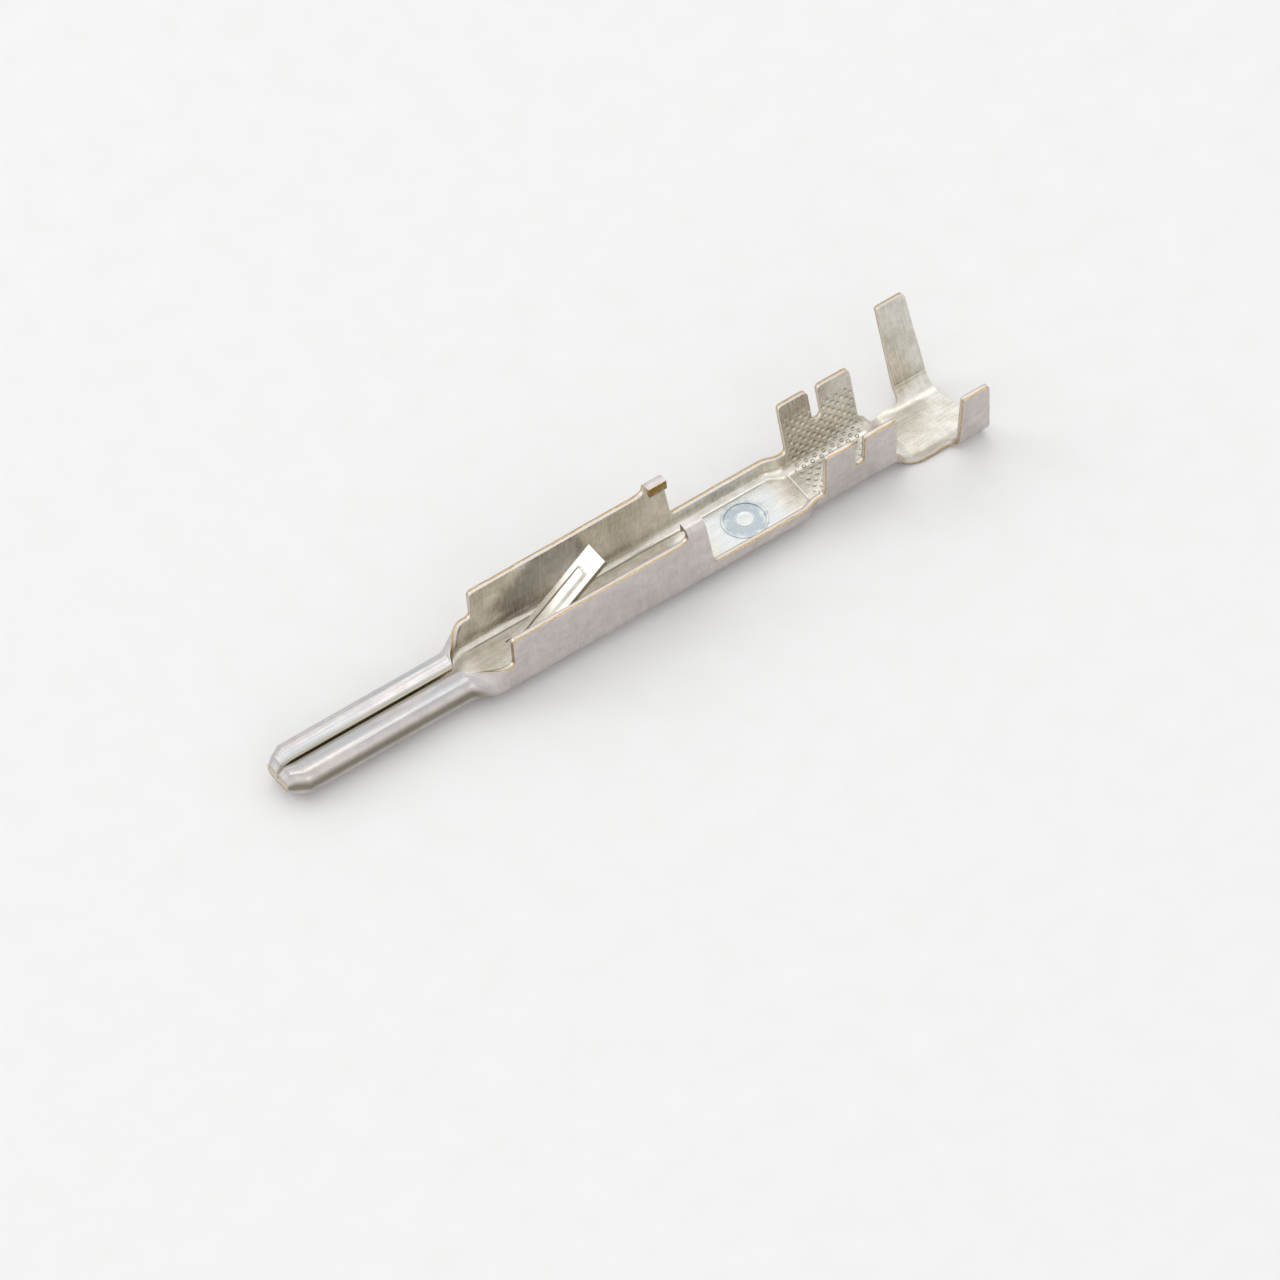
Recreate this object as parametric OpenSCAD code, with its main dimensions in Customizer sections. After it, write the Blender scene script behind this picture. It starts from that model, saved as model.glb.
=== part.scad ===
// Crimp pin contact, stamped and folded from one plated strip.
// X runs from the tip of the blade to the cable end, Y across, Z up.
// The origin is on the underside of the floor, under the middle of the stamped mark.

/* [Sheet] */
// Thickness of the strip
sheet_t = 0.15; // [0.12:0.01:0.18]

/* [Blade] */
// Width of the rolled blade
blade_w = 1.5; // [1.3:0.05:1.7]
// Height of the rolled blade
blade_h = 0.8; // [0.7:0.02:0.9]
// Length of the blade, from its tip to the neck
blade_l = 5.3; // [3:0.1:8]
// Outer radius of the blade's four long corners
blade_r = 0.3; // [0.28:0.01:0.34]
// Gap at the seam between the two rolled lips
seam_gap = 0.2; // [0.1:0.02:0.3]
// How far the lips bend down toward the seam, in degrees
lip_fall = 20; // [0:2:30]
// Length of the coined taper at the tip
tip_l = 0.46; // [0.3:0.02:0.8]
// Width of the tip's front face
tip_w = 0.94; // [0.7:0.02:1.1]
// Height of the tip's front face
tip_h = 0.44; // [0.3:0.02:0.6]

/* [Neck] */
// Length over which the lips of the blade open out to the walls of the box
neck_l = 1.2; // [0.8:0.05:2]
// Height of the shoulder where the neck meets the front edge of the box
shoulder_h = 1; // [0.95:0.05:1.3]
// Radius in the corner between that shoulder and the front edge
shoulder_r = 0.14; // [0.06:0.01:0.2]

/* [Box] */
// Width of the box over its two walls
box_w = 2.1; // [1.9:0.05:2.4]
// Height of the walls of the box
box_h = 1.9; // [1.7:0.05:2.4]
// Length of the walls of the box
box_l = 6; // [5:0.1:8]
// Outer radius of the bend between floor and wall
box_r = 0.37; // [0.3:0.01:0.42]
// Radius on the front top corner of each wall
corner_r = 0.12; // [0.05:0.01:0.2]
// How far the rear edge of each wall leans forward at its top
rear_lean = 0.14; // [0:0.02:0.3]

/* [Tabs] */
// Length of the tab at the rear of each wall
tab_l = 0.54; // [0.4:0.02:0.9]
// Height of the tab over the wall
tab_rise = 0.38; // [0.34:0.02:0.6]
// How far the tab reaches in over the channel from the outside of the wall
tab_reach = 0.36; // [0.28:0.01:0.5]
// Inner radius of the tab's bend
tab_r = 0.05; // [0.04:0.01:0.06]
// Height of the swollen sheared end of the tab
tab_end_h = 0.3; // [0.25:0.01:0.34]
// Length of the curved rise from the wall to the tab
tab_fillet = 0.24; // [0.1:0.02:0.4]

/* [Lance] */
// Distance from the front of the box to the root of the lance
lance_root = 0.6; // [0.4:0.05:1]
// Width of the lance
lance_w = 0.7; // [0.5:0.02:0.8]
// Length of the lance along its slope
lance_l = 3.3; // [2:0.05:3.5]
// Slope of the lance over the floor, in degrees
lance_angle = 36; // [20:1:40]
// Inner radius of the bend at its root
lance_r = 0.3; // [0.2:0.05:0.5]
// Clearance between the lance and the sides of the window it was cut from
lance_gap = 0.05; // [0.03:0.01:0.1]
// Width of the stiffening rib along the lance
rib_w = 0.3; // [0.2:0.02:0.4]
// Height of that rib
rib_h = 0.05; // [0.03:0.01:0.08]
// Distance from the end of the rib to the tip of the lance
rib_stop = 0.54; // [0.4:0.02:1]

/* [Bridge] */
// Length of the low walled bridge between the box and the wire barrel
bridge_l = 2.75; // [2.2:0.05:4]
// Height of the low walls
low_h = 0.6; // [0.5:0.05:0.8]
// Radius in the corner between a low wall and the rear edge of the box
low_r = 0.14; // [0.05:0.01:0.2]
// Distance from the rear of the box to the middle of the stamped mark
mark_x = 1.6; // [1:0.05:1.8]

/* [Wire barrel] */
// Length over which the bridge narrows to the wire barrel
gather_l = 0.5; // [0.4:0.05:1.2]
// Length of the wire wings
wire_l = 2.15; // [1.8:0.05:3]
// Height of the front lobes of the wire wings
wire_h = 2.16; // [1.8:0.02:2.6]
// How much lower the rear lobes are
wire_step = 0.04; // [0:0.02:0.3]
// Width of the flat part of the wire barrel's floor
wire_flat = 0.9; // [0.7:0.05:1.1]
// Outer radius of the wire barrel's bends
wire_r = 0.45; // [0.35:0.01:0.5]
// Outward flare of the wire wings, in degrees
wire_flare = 8; // [2:1:12]
// Distance from the front of a wire wing to its notch
notch_x = 0.88; // [0.7:0.02:1.1]
// Width of the notch that splits each wire wing
notch_w = 0.3; // [0.2:0.02:0.4]
// Depth of that notch
notch_d = 1.02; // [0.6:0.02:1.2]
// Radius on the corners of the wire wings
wing_r = 0.12; // [0.05:0.01:0.14]
// Radius at the front root of the wire wings
root_r = 0.14; // [0.06:0.01:0.25]

/* [Insulation barrel] */
// Length of the throat from the wire wings to the front of the cradle
throat_l = 0.85; // [0.6:0.05:1.2]
// Drop of the cradle's underside below the floor
cradle_drop = 0.2; // [0:0.02:0.3]
// Width of the flat part of the cradle's floor
cradle_flat = 1.32; // [1.1:0.02:1.6]
// Outer radius of the cradle's bends
cradle_r = 0.65; // [0.5:0.01:0.75]
// Outward flare of the insulation wings, in degrees
cradle_flare = 11; // [4:1:16]
// Width of the throat's sheet on each side of its flat floor
throat_w = 0.27; // [0.22:0.01:0.3]
// Distance from the front of the cradle to the left wing
left_x = 0.5; // [0.35:0.05:0.8]
// Length of the left wing
left_l = 0.96; // [0.7:0.02:1.2]
// Height of the left wing over the cradle's underside
left_h = 3.05; // [2.4:0.05:3.6]
// Distance from the front of the cradle to the right wing
right_x = 0.82; // [0.7:0.02:1.1]
// Length of the right wing
right_l = 0.9; // [0.7:0.02:1.2]
// Height of the right wing over the cradle's underside
right_h = 2.35; // [1.8:0.05:3]
// Radius on the corners of the insulation wings
ear_r = 0.1; // [0.04:0.01:0.16]
// Radius at the front root of the insulation wings
ear_root = 0.2; // [0.1:0.02:0.36]
// How much shorter the wings are at the top, as a share of their length
ear_taper = 0.12; // [0:0.02:0.2]

/* [Hidden] */

TIN = "#C9C5BE";
BEND_N = 5;
ROLL_N = 4;
ARC_N = 3;
NECK_N = 11;
GATHER_N = 5;
NOTCH_N = 6;
THROAT_N = 14;

half_t = sheet_t / 2;

// Room for the curve at the wire wings' front root, in its radii
ROOT_ROOM = 1.5;

// Places along the strip, counted from the middle of the stamped mark
box_rear = -mark_x;
box_front = box_rear - box_l;
tab_front = box_rear - rear_lean - tab_l;
neck_front = box_front - neck_l;
tip_x = neck_front - blade_l;
lance_x = box_front + lance_root;
window_rear = lance_x + lance_l + lance_gap;
bridge_rear = box_rear + bridge_l;
wire_cradle = bridge_rear + gather_l;
wire_front = wire_cradle + ROOT_ROOM * root_r;
notch_front = wire_front + notch_x;
notch_rear = notch_front + notch_w;
wire_rear = wire_front + wire_l;
cradle_front = wire_rear + throat_l;
left_front = cradle_front + left_x;
left_rear = left_front + left_l;
right_front = cradle_front + right_x;
right_rear = right_front + right_l;

function ease(s) = let (c = max(0, min(1, s))) c * c * (3 - 2 * c);
function mix(a, b, s) = a + (b - a) * s;
function backward(list) = [for (i = [len(list) - 1:-1:0]) list[i]];

// How far a rounded corner is off the square one, at a distance from its upright side
function corner(r, d) = d >= r ? 0 : d <= 0 ? r : r - sqrt(r * r - (r - d) * (r - d));

// One half of the folded strip is walked from the centre line to its edge: each step is a length
// and the angle that it turns through.
function steps(length, turn, n) = [for (i = [1:n]) [length / n, turn / n]];
function chord(step, heading) =
    let (half = step[1] / 2, arc = half * PI / 180, k = abs(arc) < 1e-6 ? 1 : sin(half) / arc)
    step[0] * k * [cos(heading + half), sin(heading + half)];
function trace(list) = [
    for (i = 0, p = [0, 0], h = 0; i <= len(list);
         p = i < len(list) ? p + chord(list[i], h) : p,
         h = i < len(list) ? h + list[i][1] : h,
         i = i + 1)
        [p[0], p[1], h]
];

// Length of a bend of an outer radius on the middle of the sheet, and its height over the underside
function bend_len(outer_r, turn) = (outer_r - half_t) * turn * PI / 180;
function bend_top(bend, turn) = half_t + bend / turn * 180 / PI * (1 - cos(turn));

// The floor is split at the sides of the lance and of the window that the lance was cut from. On
// a narrower floor the two lines draw in, to this share of its width at most.
SPLIT_SHARE = 0.9;
function floor_steps(flat) =
    let (
        k = min(1, SPLIT_SHARE * flat / (lance_w / 2 + lance_gap)),
        lance = k * lance_w / 2,
        gap = k * lance_gap
    )
    [[lance, 0], [gap, 0], [flat - lance - gap, 0]];

// Beyond the low edge stand a wing and the curled stub of a tab, on the lengths that have them
TAB_TURN = 90;
tab_curl = (tab_r + half_t) * TAB_TURN * PI / 180;
tab_stub = tab_reach - tab_r - sheet_t;
tab_bend = box_h + tab_rise - sheet_t - tab_r;
function half(flat, bend, turn, side, roll, roll_turn, lip, lip_turn, wing) =
    concat(floor_steps(flat), steps(bend, turn, BEND_N), steps(side, 0, 1),
           steps(roll, roll_turn, ROLL_N), steps(lip, lip_turn, 1), steps(wing, 0, 1),
           steps(tab_curl, TAB_TURN, ROLL_N), steps(tab_stub, 0, 1));
function open_half(flat, bend, turn, side, wing) =
    half(flat, bend, turn, SIDE * side, SIDE * side, 0, LIP * side, 0, wing);

// Shares of an open side's height, and the number of points in a half and at its outer places
SIDE = 0.4;
LIP = 0.2;
WINDOW_END = 2;
LOW_EDGE = 3 + BEND_N + 1 + ROLL_N + 1;
WING_TOP = LOW_EDGE + 1;
STUB_END = WING_TOP + ROLL_N + 1;

// Section of the blade
blade_flat = blade_w / 2 - blade_r;
blade_bend = bend_len(blade_r, 90);
blade_side = blade_h - 2 * blade_r;
blade_lip = blade_flat - seam_gap / 2;

// Section of the box and the bridge
box_flat = box_w / 2 - box_r;
box_bend = bend_len(box_r, 90);

// Section of the wire barrel
wire_turn = 90 - wire_flare;
wire_bend = bend_len(wire_r, wire_turn);

// The rear edge of the wire wings goes down to a little over the bends
wire_side = 0.1;
wire_low = bend_top(wire_bend, wire_turn) + wire_side * sin(wire_turn);

// Section of the cradle
cradle_turn = 90 - cradle_flare;
cradle_mid = cradle_r - half_t;
cradle_bend = bend_len(cradle_r, cradle_turn);

// Height of the edge of the low walls, with the curves at the feet of the taller ones. Under a
// taller wall it is only a line on the sheet, up to the bottom of the notch.
notch_r = notch_w / 2;
notch_edge = wire_h - notch_d + notch_r;
notch_mid = notch_front + notch_r;
function low_z(x) =
    x <= box_rear ? mix(shoulder_h + shoulder_r, low_h + low_r, (x - box_front) / box_l) :
    x <= wire_front ? low_h + corner(low_r, x - box_rear) + corner(root_r, wire_front - x) :
    x <= notch_front ? mix(low_h + root_r, notch_edge, (x - wire_front) / notch_x) :
    x <= notch_rear ? notch_edge - notch_r + corner(notch_r, notch_r - abs(x - notch_mid)) :
    mix(notch_edge, wire_low, (x - notch_rear) / (wire_rear - notch_rear));

// Height of the top edge of the box and of the wire wings
function top_z(x) =
    x <= box_rear ? box_h - corner(corner_r, x - box_front)
        + (tab_bend - box_h) * corner(1, (tab_front - x) / tab_fillet) :
    x < notch_mid ?
        wire_h - corner(wing_r, x - wire_front) - corner(wing_r, notch_front - x) :
    wire_h - wire_step - corner(wing_r, x - notch_rear) - corner(wing_r, wire_rear - x);

// Neck: the lips shorten, open and stand up as the walls of the box, and rise at the end in the
// corner under the box's front edge. The shares of its length at which it is open, at which it is
// wide, at which the lips begin to turn and at which they are gone
NECK_DONE = 0.84;
NECK_WIDE = 0.67;
TURN_BEGINS = 0.04;
LIP_GONE = 0.2;
shoulder_side = shoulder_h - box_r;
function neck_half(x) =
    let (
        s = (x - neck_front) / neck_l,
        open = ease(s / NECK_DONE),
        wide = ease(s / NECK_WIDE),
        turn = 90 * (1 - ease((s - TURN_BEGINS) / (NECK_DONE - TURN_BEGINS))),
        gone = ease(s / LIP_GONE),
        side = shoulder_side + corner(shoulder_r, box_front - x)
    )
    half(mix(blade_flat, box_flat, wide), mix(blade_bend, box_bend, wide), 90,
         mix(blade_side, SIDE * side, open), mix(blade_bend, SIDE * side, open), turn,
         mix(blade_lip, LIP * side, gone), lip_fall * (1 - gone), low_h);

// Cradle: its sheet goes on from the flat floor in one wide bend. The low edge is at a width of
// w along it, and the insulation wing goes on from there. The shares of w that its steps take,
// and the share of the rest up to the straight wing
CRADLE_BEND = 0.6;
CRADLE_SIDE = 0.1;
CRADLE_ROLL = 0.2;
CRADLE_LIP = 0.1;
WING_FOOT = 0.2;
function arc(length, n, curve = 1) = steps(length, curve * length / cradle_mid * 180 / PI, n);
function cradle_half(flat, w, curve, wing) =
    let (rest = cradle_bend - w)
    concat(floor_steps(flat), arc(CRADLE_BEND * w, BEND_N, curve), arc(CRADLE_SIDE * w, 1, curve),
           arc(CRADLE_ROLL * w, ROLL_N, curve), arc(CRADLE_LIP * w, 1, curve),
           arc(WING_FOOT * rest, 1), arc((1 - WING_FOOT) * rest, ROLL_N), steps(wing, 0, 1));
function wing_half(x, x0, x1, height) =
    let (top = height - corner(ear_r, x - x0) - corner(ear_r, x1 - x))
    cradle_half(cradle_flat / 2, throat_w + ear_root, 1,
                (top - bend_top(cradle_bend, cradle_turn)) / sin(cradle_turn));

// Throat: behind the wire wings the sheet opens almost flat, and it is bent up again toward the
// root of each insulation wing. The shares of its length at which it is open and at which its
// underside has dropped, and how much of the cradle's curve is left where it is flattest
OPEN_SHARE = 0.4;
FLATTEN = 0.5;
DROP_SHARE = 0.7;
function throat_half(x, wing_x) =
    let (
        flat = mix(wire_flat, cradle_flat, ease((x - wire_rear) / throat_l)) / 2,
        opened = ease((x - wire_rear) / (throat_l * OPEN_SHARE)),
        curve = mix(FLATTEN, 1, ease(1 - (wing_x - x) / (cradle_front - wire_rear))),
        from = open_half(flat, wire_bend, wire_turn, wire_side, low_h),
        to = cradle_half(flat, throat_w + corner(ear_root, wing_x - x), curve, low_h)
    )
    [for (i = [0:len(from) - 1]) mix(from[i], to[i], opened)];

// The folded half at x, on the left or on the right side
function half_at(x, wing_x0, wing_x1, wing_h) =
    x <= neck_front ?
        half(blade_flat, blade_bend, 90, blade_side, blade_bend, 90, blade_lip, lip_fall, low_h) :
    x < box_front ? neck_half(x) :
    x > wire_rear && x < wing_x0 ? throat_half(x, wing_x0) :
    x >= wing_x0 ? wing_half(x, wing_x0, wing_x1, wing_h) :
    let (
        s = ease((x - bridge_rear) / gather_l),
        bend = mix(box_bend, wire_bend, s),
        turn = mix(90, wire_turn, s),
        low = low_z(x)
    )
    open_half(mix(box_flat, wire_flat / 2, s), bend, turn, (low - bend_top(bend, turn)) / sin(turn),
              (top_z(x) - low) / sin(turn));
function base_z(x) = -cradle_drop * ease((x - wire_rear) / (throat_l * DROP_SHARE));

// The coined tip: the section narrows to the front face and its hollow closes to a slit. It gets
// its full height in the first third of the taper.
CLOSED = 0.9;
TIP_RISE = 3;
function coined(p, inner) =
    let (
        s = min(1, (p[0] - tip_x) / tip_l),
        high = mix(tip_h / blade_h, 1, min(1, TIP_RISE * s)) * (inner ? 1 - CLOSED * (1 - s) : 1)
    )
    [p[0], p[1] * mix(tip_w / blade_w, 1, s), blade_h / 2 + (p[2] - blade_h / 2) * high];

// One skin of a half, on the outer or the inner side of the sheet: the floor's points lie between
// the places of the two sides, and the rear edge of the box leans over the low wall
function skin(list, across, x_here, x_there, x_wing, out) = [
    for (j = [1:len(list) - 1])
        let (
            p = list[j],
            flat = list[WINDOW_END + 1][0],
            x = j <= WINDOW_END ? mix(x_there, x_here, 0.5 + p[0] / flat / 2) :
                j > LOW_EDGE && x_here == box_rear ? x_here - rear_lean :
                j == STUB_END && x_here > x_wing ? mix(x_here, x_wing, ear_taper) : x_here,
            swell = j == STUB_END && out < 0 && x_here < bridge_rear ? sheet_t - tab_end_h : 0,
            point = [x, across * (p[0] + out * sin(p[2]) + swell * sin(p[2])),
                     p[1] - (out + swell) * cos(p[2]) + half_t + base_z(x)]
        )
        x_here <= tip_x + tip_l ? coined(point, out < 0) : point
];
function skins(place) =
    let (
        left = trace(half_at(place[0], left_front, left_rear, left_h)),
        right = trace(half_at(place[1], right_front, right_rear, right_h))
    )
    [for (out = [half_t, -half_t])
        each concat(backward(skin(left, 1, place[0], place[1], left_front, out)),
                    skin(right, -1, place[1], place[0], right_front, out))];

// Places of the sections, on the left and on the right side, dense where an edge is curved
function fast(x, r) = [for (i = [1:ARC_N]) x + r * (1 - cos(90 * i / ARC_N))];
function slow(x, r) = [for (i = [1:ARC_N]) x - r * (1 - sin(90 * i / ARC_N))];
function evenly(a, b, n) = [for (i = [1:n]) mix(a, b, i / n)];
function both(list) = [for (x = list) [x, x]];
function ear_places(x0, x1) = concat(fast(x0, ear_r), [x1 - ear_r], slow(x1, ear_r));
throat_places = [for (i = [1:THROAT_N - 1])
    [mix(wire_rear, left_front, i / THROAT_N), mix(wire_rear, right_front, i / THROAT_N)]];
left_places = ear_places(left_front, left_rear);
right_places = ear_places(right_front, right_rear);
places = concat(
    both(concat(
        [tip_x, tip_x + tip_l / TIP_RISE, tip_x + tip_l, neck_front],
        evenly(neck_front, box_front - shoulder_r, NECK_N), slow(box_front, shoulder_r),
        fast(box_front, corner_r), [lance_x, window_rear],
        [tab_front - tab_fillet], slow(tab_front, tab_fillet),
        [box_rear], fast(box_rear, low_r),
        [bridge_rear], evenly(bridge_rear, wire_cradle, GATHER_N),
        [wire_front - root_r], slow(wire_front, root_r), fast(wire_front, wing_r),
        [notch_front - wing_r], slow(notch_front, wing_r),
        [for (i = [1:NOTCH_N]) notch_front + notch_r * (1 - cos(180 * i / NOTCH_N))],
        fast(notch_rear, wing_r), [wire_rear - wing_r], slow(wire_rear, wing_r)
    )),
    throat_places, [[left_front, right_front]],
    [for (i = [0:len(left_places) - 1]) [left_places[i], right_places[i]]]
);

// Which cells of the sheet are there: a cell lies between two places, and between two points
// across. It is counted outward from the centre line, where the middle cell is 0.
function inside(x, a, b) = x > a && x < b;
function there(i, cell) =
    let (
        across = abs(cell),
        side = cell > 0 ? 0 : 1,
        x = i < 0 || i > len(places) - 2 ? tip_x - 1 : (places[i][side] + places[i + 1][side]) / 2,
        ear = inside(x, side == 0 ? left_front : right_front, side == 0 ? left_rear : right_rear),
        wing = inside(x, box_front, box_rear) || inside(x, wire_front, notch_front)
            || inside(x, notch_rear, wire_rear)
    )
    x < tip_x || across >= STUB_END ? false :
    across < WINDOW_END ? !inside(x, lance_x, window_rear) :
    across < LOW_EDGE ? true :
    across < WING_TOP ? wing || ear :
    inside(x, tab_front, box_rear) || ear;

// Point numbers: each place has the outer skin from left to right, then the inner skin
wide = 2 * STUB_END;
function outer_id(i, c) = i * 2 * wide + c;
function inner_id(i, c) = outer_id(i, c) + wide;
function patch(a, b, a_next, b_next) = [[a, b_next, a_next], [a, b, b_next]];
function cell_faces(i, c) =
    let (cell = STUB_END - 1 - c, at_root = cell == 0 && places[i + 1][0] == lance_x)
    !there(i, cell) ? [] :
    concat(
        patch(outer_id(i, c), outer_id(i, c + 1), outer_id(i + 1, c), outer_id(i + 1, c + 1)),
        patch(inner_id(i, c + 1), inner_id(i, c), inner_id(i + 1, c + 1), inner_id(i + 1, c)),
        there(i, cell + 1) ? [] :
            patch(inner_id(i, c), outer_id(i, c), inner_id(i + 1, c), outer_id(i + 1, c)),
        there(i, cell - 1) ? [] :
            patch(outer_id(i, c + 1), inner_id(i, c + 1),
                  outer_id(i + 1, c + 1), inner_id(i + 1, c + 1)),
        there(i - 1, cell) ? [] :
            patch(outer_id(i, c), inner_id(i, c), outer_id(i, c + 1), inner_id(i, c + 1)),
        there(i + 1, cell) || at_root ? [] :
            patch(inner_id(i + 1, c), outer_id(i + 1, c),
                  inner_id(i + 1, c + 1), outer_id(i + 1, c + 1))
    );

// The lance stands up out of its window, on the floor's own points at its root, with a coined
// rib along it: each row has its raise, and the rows go on from the root to the tip
LANCE_N = 5;
lance_bend = (lance_r + half_t) * lance_angle * PI / 180;
lance_flat = lance_l - lance_bend;
rib_end = rib_w / 4;
lance_line = trace([
    each steps(lance_bend, lance_angle, LANCE_N),
    [rib_end, 0], [lance_flat - rib_stop - 2 * rib_end, 0], [rib_end, 0], [rib_stop, 0]
]);
lance_raise = [for (i = [1:LANCE_N + 4]) i == LANCE_N + 1 || i == LANCE_N + 2 ? rib_h : 0];
lance_across = [lance_w / 2, rib_w / 2, rib_w / 4, -rib_w / 4, -rib_w / 2, -lance_w / 2];
row_n = len(lance_across);
lance_points = [
    for (i = [1:len(lance_raise)], out = [-half_t, half_t], c = [0:row_n - 1])
        let (
            p = lance_line[i],
            up = out + (abs(lance_across[c]) < rib_w / 3 ? lance_raise[i - 1] : 0)
        )
        [lance_x + p[0] - up * sin(p[2]), lance_across[c], half_t + p[1] + up * cos(p[2])]
];
function lower_id(i, c) = len(places) * 2 * wide + i * 2 * row_n + c;
function upper_id(i, c) = lower_id(i, c) + row_n;
lance_i = [for (i = [0:len(places) - 1]) if (places[i][0] == lance_x) i][0];
lance_faces =
    let (
        c = STUB_END - 1,
        a = outer_id(lance_i, c), b = outer_id(lance_i, c + 1),
        a_up = inner_id(lance_i, c), b_up = inner_id(lance_i, c + 1),
        last = row_n - 1,
        tip = len(lance_raise) - 1
    )
    concat(
        [for (k = [0:last - 1]) each [[a, lower_id(0, k + 1), lower_id(0, k)],
                                      [b_up, upper_id(0, k), upper_id(0, k + 1)]]],
        [[a, b, lower_id(0, last)], [b_up, a_up, upper_id(0, 0)]],
        patch(a_up, a, upper_id(0, 0), lower_id(0, 0)),
        patch(b, b_up, lower_id(0, last), upper_id(0, last)),
        [for (i = [0:tip - 1]) each concat(
            [for (k = [0:last - 1]) each concat(
                patch(lower_id(i, k), lower_id(i, k + 1), lower_id(i + 1, k), lower_id(i + 1, k + 1)),
                patch(upper_id(i, k + 1), upper_id(i, k), upper_id(i + 1, k + 1), upper_id(i + 1, k)))],
            patch(upper_id(i, 0), lower_id(i, 0), upper_id(i + 1, 0), lower_id(i + 1, 0)),
            patch(lower_id(i, last), upper_id(i, last), lower_id(i + 1, last), upper_id(i + 1, last)))],
        [for (k = [0:last - 1]) each
            patch(upper_id(tip, k), lower_id(tip, k), upper_id(tip, k + 1), lower_id(tip, k + 1))]
    );

// The whole contact is one folded sheet
module pin_contact() {
    sheet = [for (place = places) each skins(place)];
    cells = [for (i = [0:len(places) - 2], c = [0:wide - 2]) each cell_faces(i, c)];
    color(TIN) polyhedron(concat(sheet, lance_points), concat(cells, lance_faces), convexity = 8);
}

pin_contact();
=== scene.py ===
"""Visual model of a stamped and folded crimp pin contact.

The contact is one strip of tin plated brass. It is made here the way the real one is: a flat grid
stands for the blank, the parts of it that the press tool cuts away are deleted, each remaining
point is folded to its place, and the sheet then gets its thickness and its sheared rims; the
slightly broken edges of the rims are only a bump in their shading. Lengths of the blank are in
millimetres, as on a drawing, and the finished piece is scaled to metres, the unit of the frame.
"""

import logging
import math
from dataclasses import dataclass
from enum import Enum

import bpy
from mathutils import Matrix, Vector

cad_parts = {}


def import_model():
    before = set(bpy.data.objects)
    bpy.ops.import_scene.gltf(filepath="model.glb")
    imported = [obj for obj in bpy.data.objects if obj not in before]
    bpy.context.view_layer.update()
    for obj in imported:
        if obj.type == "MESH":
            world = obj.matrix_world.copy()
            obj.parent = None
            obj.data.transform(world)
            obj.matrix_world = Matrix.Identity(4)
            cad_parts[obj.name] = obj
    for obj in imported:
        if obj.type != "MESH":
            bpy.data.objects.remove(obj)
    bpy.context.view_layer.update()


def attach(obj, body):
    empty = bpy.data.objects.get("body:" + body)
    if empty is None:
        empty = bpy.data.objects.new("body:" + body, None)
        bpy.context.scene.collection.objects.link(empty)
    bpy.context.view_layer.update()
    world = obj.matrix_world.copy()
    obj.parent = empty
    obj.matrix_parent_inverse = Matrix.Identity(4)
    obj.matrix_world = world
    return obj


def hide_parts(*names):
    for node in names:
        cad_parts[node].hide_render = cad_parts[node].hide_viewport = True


log = logging.getLogger("contact")
MM = 0.001
NODE = "pin_contact"


@dataclass(frozen=True)
class Sizes:
    """Sizes of the contact in millimetres, as the part's source has them.

    Only the seam is narrower here: 0.2 mm looked too wide and dark beside the photo.
    """

    sheet: float = 0.15
    blade_w: float = 1.5
    blade_h: float = 0.8
    blade_l: float = 5.3
    blade_r: float = 0.3
    seam: float = 0.12
    lip_fall: float = 20.0
    tip_l: float = 0.46
    tip_w: float = 0.94
    tip_h: float = 0.44
    neck_l: float = 1.2
    shoulder_h: float = 1.0
    shoulder_r: float = 0.14
    box_w: float = 2.1
    box_h: float = 1.9
    box_l: float = 6.0
    box_r: float = 0.37
    corner_r: float = 0.12
    rear_lean: float = 0.14
    tab_l: float = 0.54
    tab_rise: float = 0.38
    tab_reach: float = 0.36
    tab_r: float = 0.05
    tab_end_h: float = 0.3
    tab_fillet: float = 0.24
    lance_root: float = 0.6
    lance_w: float = 0.7
    lance_l: float = 3.3
    lance_angle: float = 36.0
    lance_r: float = 0.3
    lance_gap: float = 0.05
    rib_w: float = 0.3
    rib_h: float = 0.05
    rib_stop: float = 0.54
    bridge_l: float = 2.75
    low_h: float = 0.6
    low_r: float = 0.14
    mark_x: float = 1.6
    gather_l: float = 0.5
    wire_l: float = 2.15
    wire_h: float = 2.16
    wire_step: float = 0.04
    wire_flat: float = 0.9
    wire_r: float = 0.45
    wire_flare: float = 8.0
    notch_x: float = 0.88
    notch_w: float = 0.3
    notch_d: float = 1.02
    wing_r: float = 0.12
    root_r: float = 0.14
    throat_l: float = 0.85
    cradle_drop: float = 0.2
    cradle_flat: float = 1.32
    cradle_r: float = 0.65
    cradle_flare: float = 11.0
    throat_w: float = 0.27
    left_x: float = 0.5
    left_l: float = 0.96
    left_h: float = 3.05
    right_x: float = 0.82
    right_l: float = 0.9
    right_h: float = 2.35
    ear_r: float = 0.1
    ear_root: float = 0.2
    ear_taper: float = 0.12

    @property
    def half_t(self) -> float:
        """Half the thickness of the sheet."""
        return self.sheet / 2


class Part(Enum):
    """Stretches of the blank, in their order from the centre line to its edge."""

    LANCE = "lance"
    GAP = "gap"
    FLOOR = "floor"
    BEND = "bend"
    SIDE = "side"
    ROLL = "roll"
    LIP = "lip"
    WING = "wing"
    CURL = "curl"
    STUB = "stub"


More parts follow.
